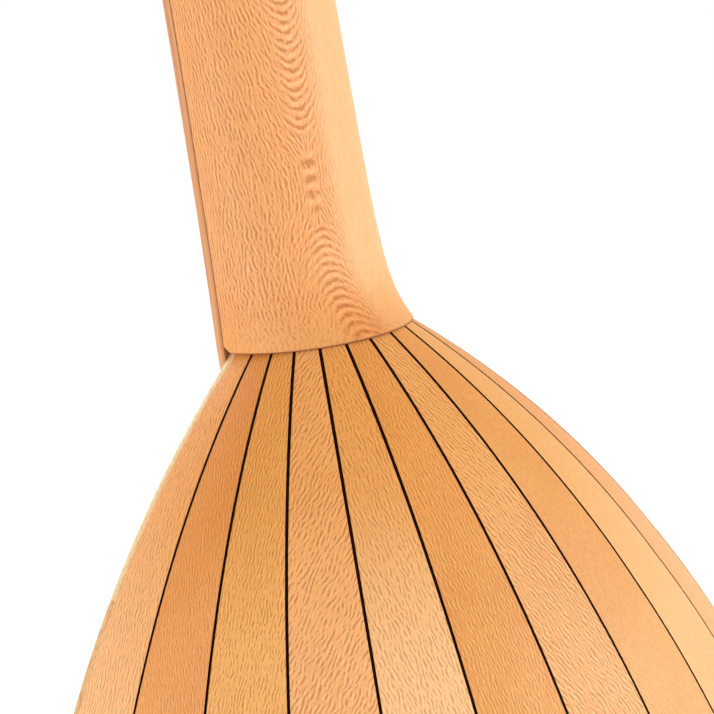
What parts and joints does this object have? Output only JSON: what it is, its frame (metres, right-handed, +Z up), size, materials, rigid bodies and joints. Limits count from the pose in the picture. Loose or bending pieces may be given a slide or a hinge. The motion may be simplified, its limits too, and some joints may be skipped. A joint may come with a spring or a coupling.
{
  "type": "baglama saz",
  "caption": "Long-necked lute with a pear-shaped bowl of bent staves and dark fillets, flat soundboard, tied nylon frets, and T-shaped pegs that turn in the head.",
  "frame": {"origin": "in the hanging hole through the tip of the head, level with the rim of the bowl", "axes": "+Z up along the neck towards the head, -Y out of the soundboard, +Y out of the back of the bowl, +X towards the treble strings"},
  "size_m": [0.2454, 0.1506, 1.1598],
  "materials": {
    "stave_wood": "oiled satin",
    "neck_wood": "oiled satin",
    "fingerboard_wood": "oiled satin",
    "dark_wood": "satin",
    "block_wood": "raw",
    "spruce": "oiled satin",
    "side_wood": "oiled satin",
    "peg_wood": "polished",
    "bone": "polished bone",
    "brass": "satin",
    "string_steel": "bright drawn wire",
    "nylon": "smooth line"
  },
  "bodies": {
    "instrument": {"stave_01": "stave_wood", "stave_02": "stave_wood", "stave_03": "stave_wood", "stave_04": "stave_wood", "stave_05": "stave_wood", "stave_06": "stave_wood", "stave_07": "stave_wood", "stave_08": "stave_wood", "stave_09": "stave_wood", "stave_10": "stave_wood", "stave_11": "stave_wood", "stave_12": "stave_wood", "stave_13": "stave_wood", "fillets": "dark_wood", "neck_block": "block_wood", "tail_block": "block_wood", "linings": "block_wood", "braces": "block_wood", "soundboard_centre": "spruce", "soundboard_treble": "side_wood", "soundboard_bass": "side_wood", "neck": "neck_wood", "head": "neck_wood", "fingerboard": "fingerboard_wood", "nut": "bone", "tail_cap": "dark_wood", "tail_saddle": "bone", "tailpiece": "dark_wood", "tail_pins": "brass", "sound_hole_ring": "dark_wood", "strings_treble": "string_steel", "strings_middle": "string_steel", "strings_bass": "string_steel"},
    "bridge": {"bridge": "dark_wood"},
    "peg_1": {"peg_1": "peg_wood"},
    "peg_2": {"peg_2": "peg_wood"},
    "peg_3": {"peg_3": "peg_wood"},
    "peg_4": {"peg_4": "peg_wood"},
    "peg_5": {"peg_5": "peg_wood"},
    "peg_6": {"peg_6": "peg_wood"},
    "peg_7": {"peg_7": "peg_wood"},
    "fret_01": {"fret_01": "nylon"},
    "fret_02": {"fret_02": "nylon"},
    "fret_03": {"fret_03": "nylon"},
    "fret_04": {"fret_04": "nylon"},
    "fret_05": {"fret_05": "nylon"},
    "fret_06": {"fret_06": "nylon"},
    "fret_07": {"fret_07": "nylon"},
    "fret_08": {"fret_08": "nylon"},
    "fret_09": {"fret_09": "nylon"},
    "fret_10": {"fret_10": "nylon"},
    "fret_11": {"fret_11": "nylon"},
    "fret_12": {"fret_12": "nylon"},
    "fret_13": {"fret_13": "nylon"},
    "fret_14": {"fret_14": "nylon"},
    "fret_15": {"fret_15": "nylon"},
    "fret_16": {"fret_16": "nylon"},
    "fret_17": {"fret_17": "nylon"}
  },
  "joints": [
    {"name": "peg_1_turn", "type": "hinge", "parent": "instrument", "child": "peg_1", "pos_m": [0.001, -0.002, -0.138], "axis": [0, -1, 0], "continuous": true},
    {"name": "peg_2_turn", "type": "hinge", "parent": "instrument", "child": "peg_2", "pos_m": [0.0025, -0.002, -0.102], "axis": [0, -1, 0], "continuous": true},
    {"name": "peg_3_turn", "type": "hinge", "parent": "instrument", "child": "peg_3", "pos_m": [0.004, -0.002, -0.066], "axis": [0, -1, 0], "continuous": true},
    {"name": "peg_4_turn", "type": "hinge", "parent": "instrument", "child": "peg_4", "pos_m": [0.0055, -0.002, -0.03], "axis": [0, -1, 0], "continuous": true},
    {"name": "peg_5_turn", "type": "hinge", "parent": "instrument", "child": "peg_5", "pos_m": [-0.014, 0.0025, -0.12], "axis": [-1, 0, 0], "continuous": true},
    {"name": "peg_6_turn", "type": "hinge", "parent": "instrument", "child": "peg_6", "pos_m": [-0.014, 0.0025, -0.084], "axis": [-1, 0, 0], "continuous": true},
    {"name": "peg_7_turn", "type": "hinge", "parent": "instrument", "child": "peg_7", "pos_m": [-0.014, 0.0025, -0.048], "axis": [-1, 0, 0], "continuous": true},
    {"name": "fret_01_shift", "type": "slide", "parent": "instrument", "child": "fret_01", "axis": [0, 0, 1], "range_m": [-0.003, 0.003]},
    {"name": "fret_02_shift", "type": "slide", "parent": "instrument", "child": "fret_02", "axis": [0, 0, 1], "range_m": [-0.003, 0.003]},
    {"name": "fret_03_shift", "type": "slide", "parent": "instrument", "child": "fret_03", "axis": [0, 0, 1], "range_m": [-0.003, 0.003]},
    {"name": "fret_04_shift", "type": "slide", "parent": "instrument", "child": "fret_04", "axis": [0, 0, 1], "range_m": [-0.003, 0.003]},
    {"name": "fret_05_shift", "type": "slide", "parent": "instrument", "child": "fret_05", "axis": [0, 0, 1], "range_m": [-0.003, 0.003]},
    {"name": "fret_06_shift", "type": "slide", "parent": "instrument", "child": "fret_06", "axis": [0, 0, 1], "range_m": [-0.003, 0.003]},
    {"name": "fret_07_shift", "type": "slide", "parent": "instrument", "child": "fret_07", "axis": [0, 0, 1], "range_m": [-0.003, 0.003]},
    {"name": "fret_08_shift", "type": "slide", "parent": "instrument", "child": "fret_08", "axis": [0, 0, 1], "range_m": [-0.003, 0.003]},
    {"name": "fret_09_shift", "type": "slide", "parent": "instrument", "child": "fret_09", "axis": [0, 0, 1], "range_m": [-0.003, 0.003]},
    {"name": "fret_10_shift", "type": "slide", "parent": "instrument", "child": "fret_10", "axis": [0, 0, 1], "range_m": [-0.003, 0.003]},
    {"name": "fret_11_shift", "type": "slide", "parent": "instrument", "child": "fret_11", "axis": [0, 0, 1], "range_m": [-0.003, 0.003]},
    {"name": "fret_12_shift", "type": "slide", "parent": "instrument", "child": "fret_12", "axis": [0, 0, 1], "range_m": [-0.003, 0.003]},
    {"name": "fret_13_shift", "type": "slide", "parent": "instrument", "child": "fret_13", "axis": [0, 0, 1], "range_m": [-0.003, 0.003]},
    {"name": "fret_14_shift", "type": "slide", "parent": "instrument", "child": "fret_14", "axis": [0, 0, 1], "range_m": [-0.003, 0.003]},
    {"name": "fret_15_shift", "type": "slide", "parent": "instrument", "child": "fret_15", "axis": [0, 0, 1], "range_m": [-0.003, 0.003]},
    {"name": "fret_16_shift", "type": "slide", "parent": "instrument", "child": "fret_16", "axis": [0, 0, 1], "range_m": [-0.003, 0.003]},
    {"name": "fret_17_shift", "type": "slide", "parent": "instrument", "child": "fret_17", "axis": [0, 0, 1], "range_m": [-0.003, 0.003]},
    {"name": "bridge_shift", "type": "slide", "parent": "instrument", "child": "bridge", "axis": [0, 0, 1], "range_m": [-0.002, 0.002]}
  ]
}
